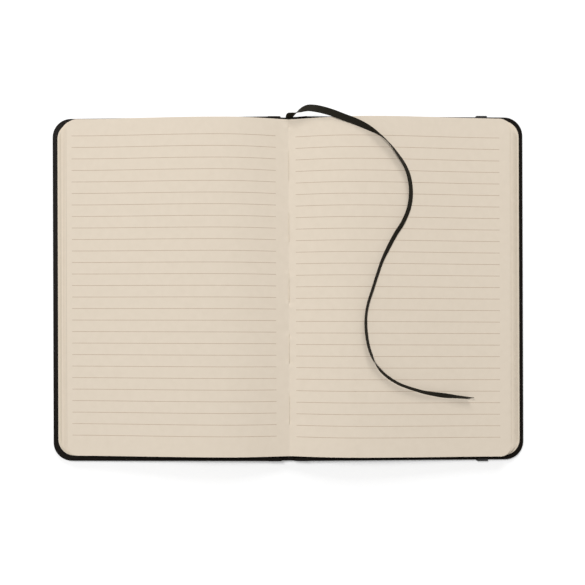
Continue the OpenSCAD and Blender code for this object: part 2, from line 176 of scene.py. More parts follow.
# The camera looks straight down, as in the photograph, whose frame is 585 pixels wide
IMAGE_PX = 585
FOCAL_PX = 756
FOOT_PX = (289.25, 340.2)
CAMERA_AT = (0.7 * MM, -31.6 * MM, 470 * MM)
CAMERA_ROLL = math.radians(-0.19)


# Numbers and curves

def cubic(p, t):
    """Cubic Bezier curve: (1-t)^3 p0 + 3 t (1-t)^2 p1 + 3 t^2 (1-t) p2 + t^3 p3, one row per t."""
    p = np.asarray(p, float)
    t = np.asarray(t, float)[:, None]
    return (1 - t) ** 3 * p[0] + 3 * t * (1 - t) ** 2 * p[1] + 3 * t * t * (1 - t) * p[2] + t ** 3 * p[3]


def cubic_heading(p, t):
    """Unit tangent of that curve, its derivative divided by its length."""
    p = np.asarray(p, float)
    t = np.asarray(t, float)[:, None]
    d = (1 - t) ** 2 * (p[1] - p[0]) + 2 * t * (1 - t) * (p[2] - p[1]) + t * t * (p[3] - p[2])
    return d / np.linalg.norm(d, axis=1)[:, None]


def smooth_through(points, steps):
    """Catmull-Rom spline through the rows of points, steps samples to each gap, the last row kept."""
    p = np.asarray(points, float)
    p = np.vstack([2 * p[0] - p[1], p, 2 * p[-1] - p[-2]])
    t = (np.arange(steps) / steps)[None, :, None]
    a, b, c, d = (p[i:len(p) - 3 + i, None, :] for i in range(4))
    rows = 0.5 * (2 * b + (c - a) * t + (2 * a - 5 * b + 4 * c - d) * t ** 2
                  + (3 * b - a - 3 * c + d) * t ** 3)
    return np.vstack([rows.reshape(-1, p.shape[1]), p[-2]])


def unit(v):
    """Vectors divided by their lengths."""
    return v / np.linalg.norm(v, axis=-1, keepdims=True)


def step_smoothly(x):
    """0 below 0, 1 above 1 and 3x^2 - 2x^3 between them."""
    x = np.clip(x, 0, 1)
    return x * x * (3 - 2 * x)


def bell(x, width):
    """exp(-(x / width)^2), which is 1 at 0 and dies out on both sides."""
    return np.exp(-(x / width) ** 2)


def wavy(x, y, seed, scale):
    """Soft unevenness between about -1 and 1: six sine waves with random headings and phases."""
    rng = np.random.default_rng(seed)
    total = np.zeros(np.broadcast(x, y).shape)
    for heading, phase, size in zip(rng.uniform(0, math.tau, 6), rng.uniform(0, math.tau, 6),
                                    rng.uniform(0.6, 1.7, 6)):
        total += np.sin((x * math.cos(heading) + y * math.sin(heading)) * math.tau * size / scale + phase)
    return total / 3


# Meshes

def signed_volume(points, faces):
    """Six times the volume inside closed quads or polygons, from fans of triangles."""
    total = 0.0
    for face in faces:
        a = points[face[:, 0]]
        for i in range(1, face.shape[1] - 1):
            total += float(np.einsum("ij,ij->", a, np.cross(points[face[:, i]], points[face[:, i + 1]])))
    return total


def new_object(name, data):
    """An object with that data at the origin, linked into the scene."""
    made = bpy.data.objects.new(name, data)
    bpy.context.collection.objects.link(made)
    return made


def mesh_piece(name, points, faces, material, uv=None, crease=40):
    """A mesh object at the origin from points (n, 3) and a list of index arrays, one per kind of face.
    Faces are turned outwards by the sign of the volume that they close, and smooth up to crease
    degrees."""
    points = np.asarray(points, float).reshape(-1, 3)
    faces = [np.asarray(f, int) for f in faces if len(f)]
    if signed_volume(points, faces) < 0:
        faces = [f[:, ::-1] for f in faces]
    mesh = bpy.data.meshes.new(name)
    mesh.from_pydata(points.tolist(), [], [row for f in faces for row in f.tolist()])
    if uv is not None:
        layer = mesh.uv_layers.new(name="Weave")
        corner = np.empty(len(mesh.loops), np.int32)
        mesh.loops.foreach_get("vertex_index", corner)
        layer.data.foreach_set("uv", np.asarray(uv, float).reshape(-1, 2)[corner].ravel())
    mesh.polygons.foreach_set("use_smooth", np.ones(len(mesh.polygons), bool))
    mesh.set_sharp_from_angle(angle=math.radians(crease))
    mesh.materials.append(material)
    mesh.update()
    return new_object(name, mesh)


def over_grid(*coordinates):
    """Coordinates given by row, by column or in full, as the points of one grid."""
    return np.stack(np.broadcast_arrays(*coordinates), -1)


def grid_quads(rows, columns, close_columns=False):
    """Quads between neighbouring points of a grid, whose last column may lead back to its first."""
    c = np.arange(columns if close_columns else columns - 1)
    i, j = np.meshgrid(np.arange(rows - 1), c, indexing="ij")
    j2 = (j + 1) % columns
    corners = [i * columns + j, (i + 1) * columns + j, (i + 1) * columns + j2, i * columns + j2]
    return np.stack(corners, -1).reshape(-1, 4)


def closed_sheet(top, bottom):
    """A thin closed solid between two grids of points of one shape: both faces and the four edges."""
    rows, columns = top.shape[:2]
    n = rows * columns
    face = grid_quads(rows, columns)
    index = np.arange(n).reshape(rows, columns)
    rim = np.concatenate([index[:-1, 0], index[-1, :-1], index[:0:-1, -1], index[0, :0:-1]])
    after = np.roll(rim, -1)
    edge = np.stack([rim, rim + n, after + n, after], -1)
    return np.concatenate([top.reshape(-1, 3), bottom.reshape(-1, 3)]), [
        np.concatenate([face, face[:, ::-1] + n, edge])]


def joined(solids):
    """Several solids as one: all their points, and each kind of face counted on from solid to solid."""
    starts = np.cumsum([0] + [len(points) for points, _ in solids[:-1]])
    kinds = zip(*(faces for _, faces in solids))
    return np.concatenate([points for points, _ in solids]), [
        np.concatenate([face + start for face, start in zip(kind, starts)]) for kind in kinds]


def tube(rings):
    """A closed tube through rings of points (n, m, 3), with a flat cap at each end."""
    n, m = rings.shape[:2]
    wall = grid_quads(n, m, close_columns=True)
    caps = np.stack([np.arange(m)[::-1], (n - 1) * m + np.arange(m)])
    return rings.reshape(-1, 3), [wall, caps]


# Materials

def add(tree, kind, values=None, **settings):
    """A node with its settings, whose sockets take plain values or other nodes' outputs."""
    made = tree.nodes.new(kind)
    for name, value in settings.items():
        setattr(made, name, value)
    for name, value in (values or {}).items():
        if isinstance(value, bpy.types.NodeSocket):
            tree.links.new(value, made.inputs[name])
        else:
            made.inputs[name].default_value = value
    return made


def calc(tree, operation, a, b=0.0, c=0.0):
    """The result of one sum on up to three values."""
    return add(tree, "ShaderNodeMath", {0: a, 1: b, 2: c}, operation=operation).outputs[0]


def spread_over(tree, value, low, high, to_low, to_high):
    """The value's range low to high laid over to_low to to_high, and held at its ends."""
    return add(tree, "ShaderNodeMapRange", {"Value": value, "From Min": low, "From Max": high,
                                            "To Min": to_low, "To Max": to_high}).outputs[0]


def noise(tree, place, scale, detail, roughness=0.5):
    """The outputs of a noise texture."""
    return add(tree, "ShaderNodeTexNoise", {"Vector": place, "Scale": scale, "Detail": detail,
                                            "Roughness": roughness}).outputs


def new_group(name, inputs, outputs):
    """A node group with named sockets, each given as a name and a kind, and its two end nodes."""
    tree = bpy.data.node_groups.new(name, "ShaderNodeTree")
    for direction, sockets in (("INPUT", inputs), ("OUTPUT", outputs)):
        for label, kind in sockets:
            tree.interface.new_socket(label, in_out=direction, socket_type="NodeSocket" + kind)
    return tree, tree.nodes.new("NodeGroupInput").outputs, tree.nodes.new("NodeGroupOutput").inputs


def paper_fibre_group():
    """Fibres and cloudy formation of uncoated paper: a tone round 0.5 and a height."""
    tree, given, out = new_group("Paper fibre", [("Vector", "Vector"), ("Fibre size", "Float")],
                                 [("Tone", "Float"), ("Height", "Float")])
    stretched = add(tree, "ShaderNodeMapping", {"Vector": given["Vector"], "Scale": (1, 0.45, 1)})
    rate = calc(tree, "DIVIDE", 1.0, given["Fibre size"])
    fibre = noise(tree, stretched.outputs[0], rate, 4, 0.65)["Fac"]
    cloud = noise(tree, given["Vector"], calc(tree, "MULTIPLY", rate, 0.06), 3)["Fac"]
    tree.links.new(fibre, out["Height"])
    clouded = calc(tree, "MULTIPLY", cloud, 0.65)
    tree.links.new(calc(tree, "MULTIPLY_ADD", fibre, 0.35, clouded), out["Tone"])
    return tree


def leather_grain_group():
    """Pebbled grain of imitation leather: rounded cells with soft creases between them."""
    tree, given, out = new_group("Leather grain", [("Vector", "Vector"), ("Pebble size", "Float")],
                                 [("Crease", "Float"), ("Height", "Float")])
    rate = calc(tree, "DIVIDE", 1.0, given["Pebble size"])
    warp = noise(tree, given["Vector"], calc(tree, "MULTIPLY", rate, 0.4), 2)["Color"]
    shift = add(tree, "ShaderNodeVectorMath", {0: warp, 1: (0.8 * MM,) * 3}, operation="MULTIPLY")
    bent = add(tree, "ShaderNodeVectorMath", {0: given["Vector"], 1: shift.outputs[0]}, operation="ADD")
    cells = add(tree, "ShaderNodeTexVoronoi", {"Vector": bent.outputs[0], "Scale": rate, "Randomness": 0.9},
                feature="DISTANCE_TO_EDGE")
    crease = spread_over(tree, cells.outputs["Distance"], 0.0, 0.22, 1.0, 0.0)
    fine = noise(tree, given["Vector"], calc(tree, "MULTIPLY", rate, 3.0), 3)["Fac"]
    height = calc(tree, "MULTIPLY_ADD", fine, 0.25, calc(tree, "SUBTRACT", 1.0, crease))
    tree.links.new(crease, out["Crease"])
    tree.links.new(height, out["Height"])
    return tree


def plain_weave_group():
    """Plain weave from two running coordinates counted in threads: each thread is a rounded ridge, and
    warp and weft pass over each other in turn."""
    tree, given, out = new_group("Plain weave", [("Across", "Float"), ("Along", "Float")],
                                 [("Height", "Float")])
    across = calc(tree, "ABSOLUTE", calc(tree, "SINE", calc(tree, "MULTIPLY", given["Across"], math.pi)))
    along = calc(tree, "ABSOLUTE", calc(tree, "SINE", calc(tree, "MULTIPLY", given["Along"], math.pi)))
    parity = calc(tree, "ADD", calc(tree, "FLOOR", given["Across"]), calc(tree, "FLOOR", given["Along"]))
    over = calc(tree, "FLOORED_MODULO", parity, 2.0)
    warp = calc(tree, "MULTIPLY", across, calc(tree, "MULTIPLY_ADD", over, 0.5, 0.5))
    weft = calc(tree, "MULTIPLY", along, calc(tree, "MULTIPLY_ADD", over, -0.5, 1.0))
    tree.links.new(calc(tree, "MAXIMUM", warp, weft), out["Height"])
    return tree


GROUPS = {"fibre": paper_fibre_group(), "grain": leather_grain_group(), "weave": plain_weave_group()}


def use_group(tree, name, values):
    """The outputs of one of the groups, placed with its own values."""
    return add(tree, "ShaderNodeGroup", values, node_tree=GROUPS[name]).outputs


def material(name):
    """An empty material, its tree, its Principled shader and the object's own coordinates."""
    made = bpy.data.materials.new(name)
    made.use_nodes = True
    tree = made.node_tree
    shader = tree.nodes["Principled BSDF"]
    return made, tree, shader, tree.nodes.new("ShaderNodeTexCoord").outputs


def finish_plainly(shader, values):
    """The shader's values that are the same all over the surface, by the names of their sockets."""
    for name, value in values.items():
        shader.inputs[name].default_value = value


def tint(tree, shader, factor, dark, light):
    """Base colour between two colours by a factor that changes over the surface."""
    ramp = add(tree, "ShaderNodeMix", {"Factor": factor, "A": (*dark, 1), "B": (*light, 1)},
               data_type="RGBA")
    tree.links.new(ramp.outputs["Result"], shader.inputs["Base Color"])


def raise_relief(tree, shader, height, depth, strength=1.0):
    """Bump by a height from 0 to 1, laid over a depth."""
    bump = add(tree, "ShaderNodeBump", {"Height": height, "Distance": depth, "Strength": strength})
    tree.links.new(bump.outputs[0], shader.inputs["Normal"])


def paper(name, dark, light, fibre=0.25 * MM, depth=0.02 * MM, specular=0.25):
    """Uncoated paper or board, clouded between two tones, with its fibres as relief. Ink on it has the
    same clouding and no relief of its own."""
    made, tree, shader, where = material(name)
    fibres = use_group(tree, "fibre", {"Vector": where["Object"], "Fibre size": fibre})
    tint(tree, shader, spread_over(tree, fibres["Tone"], 0.3, 0.7, 0.0, 1.0), dark, light)
    if depth:
        raise_relief(tree, shader, fibres["Height"], depth, 0.5)
    finish_plainly(shader, {"Roughness": 0.9, "Specular IOR Level": specular})
    return made


def paint_edge_shade(finish, cut, share=0.42, reach=0.34):
    """A paper with painted shade along its fore edge, in place of the shadow between the leaves' steps; the
    colour given as cut is that painted shade. The page's own map runs in millimetres from the fore edge,
    and the painted shade has its share there and dies out within its reach."""
    tree = finish.node_tree
    place = add(tree, "ShaderNodeSeparateXYZ", {"Vector": tree.nodes["Texture Coordinate"].outputs["UV"]})
    # painted shade, darkest at the fore edge
    shade_mask = spread_over(tree, place.outputs["X"], 0.0, reach, share, 0.0)
    base = tree.nodes["Principled BSDF"].inputs["Base Color"]
    plain = base.links[0].from_socket
    ramp = add(tree, "ShaderNodeMix", {"Factor": shade_mask, "A": plain, "B": (*cut, 1)}, data_type="RGBA")
    tree.links.new(ramp.outputs["Result"], base)
    return finish


def leatherette():
    """Black imitation leather, duller in the creases of its grain, where painted shade also colours it
    darker.
    """
    made, tree, shader, where = material("Black leatherette")
    grain = use_group(tree, "grain", {"Vector": where["Object"], "Pebble size": 0.7 * MM})
    # painted shade: the grain's creases are coloured darker than its pebbles
    tint(tree, shader, grain["Crease"], (0.0085, 0.0058, 0.0035), (0.004, 0.0028, 0.0018))
    raise_relief(tree, shader, grain["Height"], 0.05 * MM, 0.8)
    rough = spread_over(tree, grain["Crease"], 0.0, 1.0, 0.42, 0.6)
    tree.links.new(rough, shader.inputs["Roughness"])
    finish_plainly(shader, {"Specular IOR Level": 0.09})
    return made


def woven(name, dark, light, threads, depth, roughness, sheen=0.0, specular=0.5, by="UV", strength=0.7):
    """Cloth with so many threads across and along to each unit of a map: the piece's own weave map, which
    runs 0 to 1 across it and in widths along it, or the object's own coordinates. It is coloured darker
    where the weave lies low, a painted shade between the threads."""
    made, tree, shader, where = material(name)
    place = add(tree, "ShaderNodeSeparateXYZ", {"Vector": where[by]})
    weave = use_group(tree, "weave", {
        "Across": calc(tree, "MULTIPLY", place.outputs["X"], threads[0]),
        "Along": calc(tree, "MULTIPLY", place.outputs["Y"], threads[1])})
    # painted shade: the low parts of the weave are coloured darker than the thread tops
    tint(tree, shader, weave["Height"], dark, light)
    raise_relief(tree, shader, weave["Height"], depth, strength)
    finish_plainly(shader, {"Roughness": roughness, "Specular IOR Level": specular,
                            "Sheen Weight": sheen, "Sheen Roughness": 0.4})
    return made


def cotton_thread():
    """Undyed thread with a fine hair."""
    made, tree, shader, where = material("Cotton thread")
    hair = noise(tree, where["Object"], 9000, 3)["Fac"]
    tint(tree, shader, hair, (0.62, 0.55, 0.44), (0.80, 0.73, 0.61))
    raise_relief(tree, shader, hair, 0.02 * MM, 0.6)
    finish_plainly(shader, {"Roughness": 0.85})
    return made


# painted shade: the pages are coloured darker along their fore edges, in place of the shadow between the
# leaves
PAGE_PAPER = paint_edge_shade(paper("Cream page paper", (0.735, 0.642, 0.525), (0.765, 0.671, 0.553)),
                       (0.42, 0.36, 0.27))
ENDPAPER = paper("Cream endpaper", (0.70, 0.61, 0.49), (0.735, 0.65, 0.53), fibre=0.3 * MM, depth=0.03 * MM)
GREYBOARD = paper("Grey board", (0.30, 0.275, 0.24), (0.46, 0.43, 0.38), fibre=0.5 * MM, depth=0.06 * MM)
LEATHERETTE = leatherette()
ELASTIC = woven("Black elastic", (0.006, 0.006, 0.006), (0.03, 0.03, 0.03), (14, 9), depth=0.12 * MM,
                roughness=0.75, sheen=0.15)
RIBBON_SATIN = woven("Black ribbon satin", (0.015, 0.0135, 0.010), (0.030, 0.0275, 0.0205), (16, 12),
                     depth=0.03 * MM, roughness=0.42, specular=0.02)
MULL = woven("Mull lining", (0.55, 0.50, 0.40), (0.80, 0.76, 0.68), (1.4 / MM, 1.4 / MM), depth=0.1 * MM,
             roughness=0.85, by="Object", strength=0.8)
LINE_INK = paper("Pale line ink", (0.435, 0.325, 0.235), (0.52, 0.395, 0.29), fibre=0.2 * MM, depth=0,
                 specular=0.2)
THREAD = cotton_thread()


# The block of pages

def lie_z(d):
    """Height at which the block lies on its flyleaf, at a distance from the gutter."""
    return (BOARD_RISE - (d - SPINE_SHIFT - INNER_X) * math.tan(SLOPE)
            + (SKIN_T + PAPER_T) / math.cos(SLOPE) + PAGE_GAP + PAPER_T)


FALL_END = TOP_REACH - PAGE_CORNER_R
FALL_LEN = FALL_END - CREST_X
FALL_LOW = FALL_END - 0.3 * FALL_LEN
RISE = [[0, GUTTER_Z], [0.275 * CREST_X, GUTTER_Z + 0.33 * PAGE_ARCH], [0.6 * CREST_X, CREST_Z],
        [CREST_X, CREST_Z]]
FALL = [[CREST_X, CREST_Z], [CREST_X + 0.35 * FALL_LEN, CREST_Z],
        [FALL_LOW, lie_z(FALL_LOW) + STACK_T], [FALL_END, lie_z(FALL_END) + STACK_T]]
SHOULDER = [[BACK_X, BACK_Z], [BACK_X + 1 * MM, BACK_Z + 1.6 * MM],
            [SHOULDER_X - 2 * MM, lie_z(SHOULDER_X - 2 * MM)], [SHOULDER_X, lie_z(SHOULDER_X)]]


def corner_e(u):
    """Distance from the fore edge at a station of the rounded corner: r (1 - sin of its angle)."""
    return PAGE_CORNER_R * (1 - np.sin(math.pi / 2 * (u - FALL_AT) / (CORNER_AT - FALL_AT)))


def corner_cut(e, r):
    """How far a corner of radius r cuts into the page's half height at e from its fore edge:
    r - sqrt(r^2 - (r - e)^2) within the corner, else nothing."""
    return r - np.sqrt(np.maximum(r * r - np.maximum(r - e, 0) ** 2, 0))


def top_line(u):
    """Distance from the gutter and height of the open page: two Bezier curves, then straight down as
    the cover slopes."""
    d = np.where(u[:, None] <= CREST_AT, cubic(RISE, np.clip(u / CREST_AT, 0, 1)),
                 cubic(FALL, np.clip((u - CREST_AT) / (FALL_AT - CREST_AT), 0, 1)))
    end = TOP_REACH - corner_e(np.maximum(u, FALL_AT))
    return np.where(u[:, None] <= FALL_AT, d, np.stack([end, lie_z(end) + STACK_T], -1))


def low_line(u):
    """The same for the lowest page: the parabola of the block's back, a Bezier shoulder, then the
    cover's slope."""
    t = np.clip(u / BACK_END, 0, 1)
    arch = np.stack([BACK_X * t, FOLD_Z + (BACK_Z - FOLD_Z) * t * t], -1)
    shoulder = cubic(SHOULDER, np.clip((u - BACK_END) / (CREST_AT - BACK_END), 0, 1))
    run = LOW_REACH - PAGE_CORNER_R - SHOULDER_X
    d = SHOULDER_X + run * np.clip((u - CREST_AT) / (FALL_AT - CREST_AT), 0, 1)
    d = np.where(u <= FALL_AT, d, LOW_REACH - corner_e(np.maximum(u, FALL_AT)))
    lying = np.stack([d, lie_z(d)], -1)
    u = u[:, None]
    return np.where(u <= BACK_END, arch, np.where(u <= CREST_AT, shoulder, lying))


def leaf_line(u, v):
    """A leaf at depth v in the block, 0 on top and 1 lowest: between the top and the low line by v.
    Inside the back it runs straight from its own fold on the arch, bent as the top one is by 1 - v."""
    top, low = top_line(u), low_line(u)
    line = top + v * (low - top)
    knee = np.array([float(BACK_END)])
    knee_top, knee_low = top_line(knee)[0], low_line(knee)[0]
    knee_at = knee_top + v * (knee_low - knee_top)
    t = FOLD_SHARE * v
    fold = np.array([BACK_X * t, FOLD_Z + (BACK_Z - FOLD_Z) * t * t])
    first = np.array([0.0, GUTTER_Z])
    lift = step_smoothly(1 - v * SIGNATURES)
    start = fold + lift * (first - np.array([0.0, FOLD_Z]))
    s = np.clip(u / BACK_END, 0, 1)[:, None]
    sag = top - (first + (knee_top - first) * s)
    inner = start + (knee_at - start) * s + (1 - v) * sag
    return np.where(u[:, None] < BACK_END, inner, line)


def page_grid(u, w, line, side, v=1.0, reach=0.0, stretch=0.0):
    """Points of a page over its stations u and its height w from -1 to 1, on one side of the gutter, at
    depth v in the block. Its fore edge moves out by reach and in by its draw, with the square of the
    way there, its head and tail move out by stretch, and both fall at a fixed slope from left to
    right."""
    corner = TOP_CORNER_R + v * (PAGE_CORNER_R - TOP_CORNER_R)
    half = PAGE_H / 2 + stretch - corner_cut(line[-1, 0] - line[:, 0], corner)
    d = line[:, 0] + (reach - (1 - v) * TOP_DRAW[side]) * (u / CORNER_AT) ** 2
    x = SPINE_SHIFT + side * d[:, None]
    lift = HEAD_LIFT[side] * step_smoothly(d / LIFT_RUN)[:, None] * np.maximum(w, 0)[None, :]
    y = PAGE_MID + half[:, None] * w[None, :] + lift - BLOCK_SHEAR * (x - SPINE_SHIFT)
    return over_grid(x, y, line[:, 1:])


def edge_map(line, w, shade_offset=0.0):
    """The page's own map: millimetres from its fore edge, moved out by the offset of the painted edge
    shade, and its height.
    """
    inwards = (line[-1, 0] - line[:, 0]) / MM + shade_offset
    return over_grid(inwards[:, None], w)


def line_normal(line):
    """Unit normals of a line in the plane across the book, to its upper side."""
    t = unit(np.gradient(line, axis=0))
    return np.stack([-t[:, 1], t[:, 0]], -1)


def stations(ends, counts):
    """Stations along a leaf: even steps from each end to the next, with as many points as counted."""
    runs = [np.linspace(a, b, n) for a, b, n in zip(ends, ends[1:], counts)]
    return np.concatenate([runs[0]] + [run[1:] for run in runs[1:]])


LEAF_U = stations([0, BACK_END, CREST_AT, FALL_AT, CORNER_AT], [5, 11, 11, 9])
LEAF_W = np.linspace(-1, 1, 9)


def leaf(side, k, reach, stretch):
    """One leaf of the block, the k-th from the top, as a thin closed sheet with its own map."""
    v = (k + 0.5) / SIDE_LEAVES
    line = leaf_line(LEAF_U, v)
    normal = line_normal(line)
    sheets = [page_grid(LEAF_U, LEAF_W, line + h * LEAF_T / 2 * normal, side, v, reach, stretch)
              for h in (1, -1)]
    uv = edge_map(line, LEAF_W, EDGE_SHADE_OFFSET[side] * (1 - v)).reshape(-1, 2)
    return closed_sheet(*sheets), np.tile(uv, (2, 1))


def block_leaves():
    """The leaves under the open spread, sewn signature by signature. At the fore edge a leaf's reach is
    the sum of its signature's sway, its step in the fan, its creep and a small offset of its own."""
    rng = np.random.default_rng(11)
    half = LEAVES_PER_SIGNATURE // 2
    sewn = {}
    for side in (LEFT, RIGHT):
        for k in range(1, SIDE_LEAVES):
            number = (k + half) // LEAVES_PER_SIGNATURE
            in_signature = (k + half) % LEAVES_PER_SIGNATURE - (LEAVES_PER_SIGNATURE - 1) / 2
            creep = -CREEP * (in_signature / half) ** 2
            sway = SIGNATURE_SWAY * math.sin(SWAY_STEP * number + SWAY_START[side])
            step = -STEP_SHARE[side] * FAN * in_signature / SIDE_LEAVES
            reach = sway + step + creep + rng.normal(0, LEAF_SWAY) - LOW_DRAW[side] * k / SIDE_LEAVES
            sewn.setdefault((side, number), []).append(leaf(side, k, reach, rng.normal(0, HEAD_SWAY)))
    pieces = [("signature_middle", sewn.pop((LEFT, 0)) + sewn.pop((RIGHT, 0)))]
    pieces += [(f"signature_{'left' if side == LEFT else 'right'}_{number}", leaves)
               for (side, number), leaves in sorted(sewn.items())]
    for name, leaves in pieces:
        points, faces = joined([sheet for sheet, _ in leaves])
        uv = np.concatenate([edges for _, edges in leaves])
        piece = mesh_piece(name, points, faces, PAGE_PAPER, uv=uv, crease=30)
        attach(piece, "book_block")
        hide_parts("text_block")


# Where the thread enters the fold, in millimetres, with how much each hole puckers the sheet. Each
# pucker is a ridge and, nearer the head, a dip
PUCKERS = [(-83.7, 0.5), (-65.1, 0.4), (-46.8, 1.0), (-30.2, 0.9), (-10.4, 1.1), (8.0, 0.9), (27.5, 0.6),
           (46.5, 0.3), (65.1, 0.4), (82.2, 0.8), (97.5, 1.2)]
PUCKER_SLIP = 1.1 * MM  # how far up the left page's puckers lie, and down the right page's
PUCKER_HEIGHT = 0.3 * MM
PUCKER_REACH = 2.4 * MM
RIDGE_W = 1.7 * MM
DIP_W = 2.2 * MM
DIP_AT = 3.2 * MM


def spread_relief(d, y):
    """How far the open spread stands off its line: soft cockling of the paper, and puckers at the sewing
    holes, each a small ridge beside a small dip that die out within a few millimetres of the fold."""
    relief = 0.05 * MM * wavy(d, y, 3, 90 * MM) * step_smoothly(d / (30 * MM))
    for at, size in PUCKERS:
        off = y - at * MM
        pucker = bell(off, RIDGE_W) - 0.7 * bell(off - DIP_AT, DIP_W)
        relief = relief + PUCKER_HEIGHT * size * pucker * bell(d, PUCKER_REACH)
    return relief


SPREAD_U = stations([0, 1, BACK_END, CREST_AT, FALL_AT, CORNER_AT], [15, 12, 34, 46, 12])
SPREAD_W = np.linspace(-1, 1, 165)
SPREAD_LINE = leaf_line(SPREAD_U, 0.5 / SIDE_LEAVES)


def open_spread():
    """The open sheet of the middle signature: both pages in one piece, creased at the gutter."""
    line = SPREAD_LINE
    normal = line_normal(line)
    halves = {}
    for side in (LEFT, RIGHT):
        for h in (1, -1):
            grid = page_grid(SPREAD_U, SPREAD_W, line + h * LEAF_T / 2 * normal, side, 0.0)
            grid[:, :, 2] += spread_relief(line[:, 0][:, None], grid[:, :, 1] + side * PUCKER_SLIP)
            halves[side, h] = grid
    top, bottom = (np.concatenate([halves[LEFT, h][:0:-1], halves[RIGHT, h]]) for h in (1, -1))
    points, faces = closed_sheet(top, bottom)
    left, right = (edge_map(line, SPREAD_W, EDGE_SHADE_OFFSET[side]) for side in (LEFT, RIGHT))
    uv = np.tile(np.concatenate([left[:0:-1], right]).reshape(-1, 2), (2, 1))
    piece = mesh_piece("open_spread", points, faces, PAGE_PAPER, uv=uv, crease=60)
    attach(piece, "book_block")
    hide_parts("text_block")


def ruled_print():
    """The printed lines: a thin strip for each, at the height of the open page's own surface, turned by
    the print's skew."""
    line = SPREAD_LINE
    surface = line + LEAF_T / 2 * line_normal(line)
    across, upwards = np.array([-1, 1, 1, -1]), np.array([-1, -1, 1, 1])
    strips = []
    for side, (start, end) in ((LEFT, LEFT_RULE), (RIGHT, RIGHT_RULE)):
        d = np.linspace(start, end, 90)
        x = SPINE_SHIFT + side * d
        from_gutter = np.interp(d, surface[:, 0] - TOP_DRAW[side] * (SPREAD_U / CORNER_AT) ** 2, line[:, 0])
        z = np.interp(from_gutter, line[:, 0], surface[:, 1])
        for i in range(RULE_COUNT):
            y = (PAGE_MID + PAGE_H / 2 - RULE_HEAD - i * RULE_PITCH - side * PRINT_STEP
                 - (BLOCK_SHEAR + PRINT_SKEW) * side * d)
            height = z + spread_relief(from_gutter, y + side * PUCKER_SLIP)
            rings = over_grid(x[:, None], y[:, None] + RULE_W / 2 * across,
                              height[:, None] + PRINT_LIFT * upwards)
            strips.append(tube(rings[::side]))
    points, faces = joined(strips)
    piece = mesh_piece("ruled_print", points, faces, LINE_INK)
    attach(piece, "book_block")
    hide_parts("ruled_lines")


def sewing():
    """Two-ply thread in the gutter: each ply is a round strand on a helix round the stitch's line, which
    dives into the fold at both ends by the twelfth power of the way there."""
    plies = []
    around = np.linspace(0, math.tau, 8, endpoint=False)
    for i in range(STITCHES):
        middle = PAGE_MID + (2 * i - STITCHES + 1) * STITCH
        y = np.linspace(middle - STITCH / 2 + THREAD_D / 2, middle + STITCH / 2 - THREAD_D / 2, 90)
        dive = STITCH_DIVE * np.abs((y - middle) / (STITCH / 2)) ** 12
        turn = (y - middle) / PLY_TURN * math.tau
        for phase in (0, math.pi):
            cx = SPINE_SHIFT + THREAD_D / 4 * np.cos(turn + phase)
            cz = GUTTER_Z + STITCH_SEAT - dive + THREAD_D / 4 * np.sin(turn + phase)
            plies.append(tube(over_grid(cx[:, None] + THREAD_D / 4 * np.cos(around), y[:, None],
                                        cz[:, None] + THREAD_D / 4 * np.sin(around))))
    points, faces = joined(plies)
    piece = mesh_piece("sewing_stitches", points, faces, THREAD)
    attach(piece, "book_block")
    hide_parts("sewing_thread")


# The case

def cover_frame(side, x, y, z):
    """From a cover's own frame, x from its inner edge and z up from its outer face, to where it lies,
    turned by the slope about its inner edge."""
    c, s = math.cos(SLOPE), math.sin(SLOPE)
    return over_grid(side * (INNER_X + x * c + z * s), y, BOARD_RISE - x * s + z * c)


CORNER_STEPS = 14
PANEL_MIDDLE = 13 * MM  # how far in from the edge a covering's section runs


def outline_path(w, h, r, inset):
    """The outline of a cover or sheet drawn in by an inset, from its inner edge along the tail, round the
    fore edge and back along the head. Past the corner's radius the corner is square."""
    bend = np.linspace(0, math.pi / 2, CORNER_STEPS)
    radius = max(r - inset, 0.0)
    cx, cy = w - inset - radius, h / 2 - inset - radius
    run = np.linspace(0, 1, 10)[:-1]
    tail = np.stack([run * cx, 0 * run - h / 2 + inset], -1)
    low = np.stack([cx + radius * np.sin(bend), -cy - radius * np.cos(bend)], -1)
    up = np.linspace(0, 1, 16)[1:-1]
    fore = np.stack([0 * up + w - inset, -cy + up * 2 * cy], -1)
    path = np.concatenate([tail, low, fore])
    return np.concatenate([path, (low * [1, -1])[::-1], (tail * [1, -1])[::-1]])


def wrapped_panel(w, h, r, profile):
    """A thin panel whose section, a row of (inset, height) from the middle of one face round the edge to
    the middle of the other, is carried round the outline. Both middles and the inner side are closed
    flat."""
    rows = []
    for inset, height in profile:
        path = outline_path(w, h, r, inset)
        rows.append(np.column_stack([path, np.full(len(path), height)]))
    grid = np.stack(rows, 1)
    k, j = grid.shape[:2]
    index = np.arange(k * j).reshape(k, j)
    wall = grid_quads(k, j)
    middles = [index[:, 0][None, :], index[:, -1][None, ::-1]]
    ends = np.stack([index[0], index[-1][::-1]])
    side = np.array([[index[0, 0], index[0, -1], index[-1, -1], index[-1, 0]]])
    return grid, [wall, *middles, ends, side]


def tidy_piece(piece):
    """Merges points that fell together where a corner turned square, and turns all faces outwards."""
    work = bmesh.new()
    work.from_mesh(piece.data)
    bmesh.ops.remove_doubles(work, verts=work.verts, dist=1e-6)
    bmesh.ops.dissolve_degenerate(work, edges=work.edges, dist=1e-6)
    bmesh.ops.recalc_face_normals(work, faces=work.faces)
    work.to_mesh(piece.data)
    work.free()
    piece.data.set_sharp_from_angle(angle=math.radians(40))


def edge_arc(r, low, high, steps=6):
    """The rounded edge of a wrapped board in its section, a quarter circle at its lower face and one at
    its upper face."""
    bend = np.linspace(0, math.pi / 2, steps)
    lower = [(r - r * math.sin(b), low + r - r * math.cos(b)) for b in bend]
    upper = [(r - r * math.cos(b), high - r + r * math.sin(b)) for b in bend]
    return lower + upper


# The turn-in's pleats at a corner: their depth, and how many would lie round half a turn
PLEAT = 0.09 * MM
PLEATS = 9


